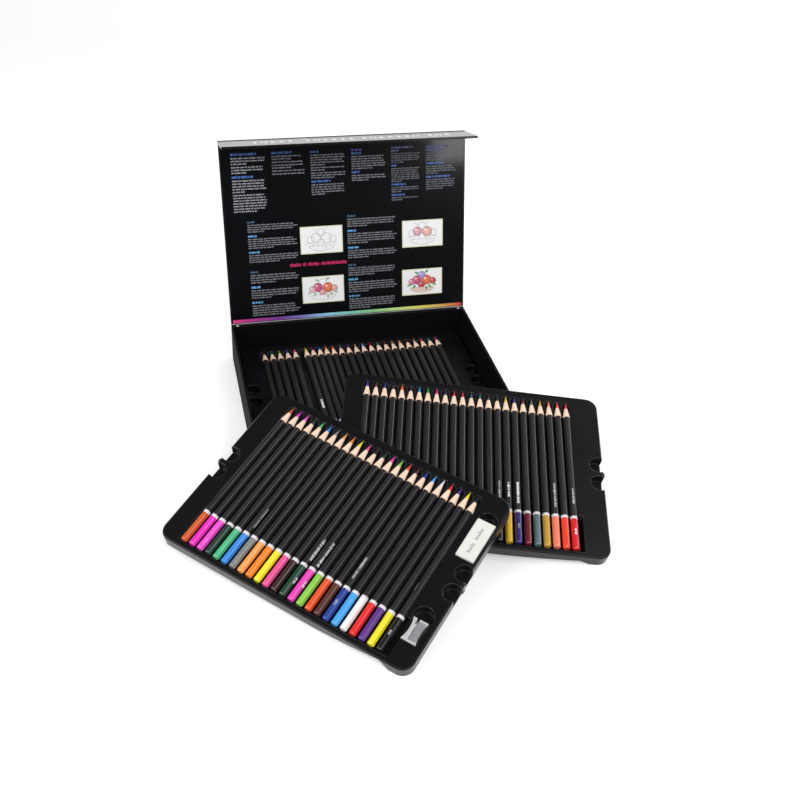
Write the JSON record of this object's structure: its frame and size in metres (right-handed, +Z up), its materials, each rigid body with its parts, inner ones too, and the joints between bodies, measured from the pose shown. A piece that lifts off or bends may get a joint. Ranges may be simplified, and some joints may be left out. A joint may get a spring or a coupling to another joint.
{
  "type": "pencil presentation box",
  "caption": "Hinged-lid presentation box for pencils, open, with lift-out trays of pencils, an eraser and a sharpener.",
  "frame": {"origin": "centre of the box's underside, where it stands on the table", "axes": "+Z up, +Y from the front wall to the lid's hinge, +X to the right seen from the front"},
  "size_m": [0.452, 0.5425, 0.2517],
  "materials": {
    "board_black": "glossy laminated black paper on greyboard",
    "printed_sheet": "glossy printed black paper",
    "tray_black": "semi-gloss thermoformed sheet",
    "pencil_paint": "matte black paint with coloured dipped ends",
    "pencil_lead": "coloured wax leads",
    "eraser_white": "matte white vinyl",
    "sharpener_alloy": "satin die-cast alloy",
    "blade_steel": "polished",
    "steel": "plain",
    "rivet_silver": "bright"
  },
  "bodies": {
    "box": {"case_bottom_board": "board_black", "case_spine_board": "board_black", "base_lining": "board_black", "left_wall": "board_black", "right_wall": "board_black", "front_wall": "board_black", "rear_wall": "board_black", "wall_steel_discs": "steel", "hinge_rivets": "rivet_silver", "hinge_wrap": "board_black"},
    "lid": {"lid_board": "board_black", "lid_print_sheet": "printed_sheet", "flap_crease": "board_black"},
    "flap": {"flap_board": "board_black", "flap_magnets": "steel"},
    "tray_1": {"tray_1_shell": "tray_black"},
    "tray_2": {"tray_2_shell": "tray_black", "pencils_2_under_casings": "pencil_paint", "pencils_2_under_leads": "pencil_lead"},
    "tray_3": {"tray_3_shell": "tray_black"},
    "pencils_1": {"pencils_1_casings": "pencil_paint", "pencils_1_leads": "pencil_lead"},
    "pencils_2_free": {"pencils_2_free_casings": "pencil_paint", "pencils_2_free_leads": "pencil_lead"},
    "pencils_3": {"pencils_3_casings": "pencil_paint", "pencils_3_leads": "pencil_lead"},
    "eraser": {"eraser": "eraser_white"},
    "sharpener": {"sharpener_body": "sharpener_alloy", "sharpener_blade": "blade_steel", "sharpener_screw": "blade_steel"}
  },
  "joints": [
    {"name": "lid_hinge", "type": "hinge", "parent": "box", "child": "lid", "pos_m": [0, 0.1005, 0.046], "axis": [-1, 0, 0], "range_deg": [-72, 72]},
    {"name": "flap_fold", "type": "hinge", "parent": "lid", "child": "flap", "pos_m": [0, 0.16509, 0.23899], "axis": [1, 0, 0], "range_deg": [-90, 5]},
    {"name": "tray_2_slide", "type": "slide", "parent": "box", "child": "tray_2", "axis": [0.2526, -0.9599, 0.1213], "range_m": [0, 0.15]},
    {"name": "tray_1_slide", "type": "slide", "parent": "tray_2", "child": "tray_1", "axis": [-0.4643, -0.877, 0.1238], "range_m": [0, 0.15]},
    {"name": "tray_3_lift", "type": "slide", "parent": "box", "child": "tray_3", "axis": [0, 0, 1], "range_m": [0, 0.014]},
    {"name": "pencils_1_lift", "type": "slide", "parent": "tray_1", "child": "pencils_1", "axis": [-0.136, -0.2101, 0.9682], "range_m": [0, 0.02]},
    {"name": "pencils_2_lift", "type": "slide", "parent": "tray_2", "child": "pencils_2_free", "axis": [0, -0.2415, 0.9704], "range_m": [0, 0.02]},
    {"name": "pencils_3_lift", "type": "slide", "parent": "tray_3", "child": "pencils_3", "axis": [0, 0, 1], "range_m": [0, 0.008]},
    {"name": "eraser_lift", "type": "slide", "parent": "tray_1", "child": "eraser", "axis": [-0.136, -0.2101, 0.9682], "range_m": [0, 0.02]},
    {"name": "sharpener_lift", "type": "slide", "parent": "tray_1", "child": "sharpener", "axis": [-0.136, -0.2101, 0.9682], "range_m": [0, 0.02]}
  ]
}
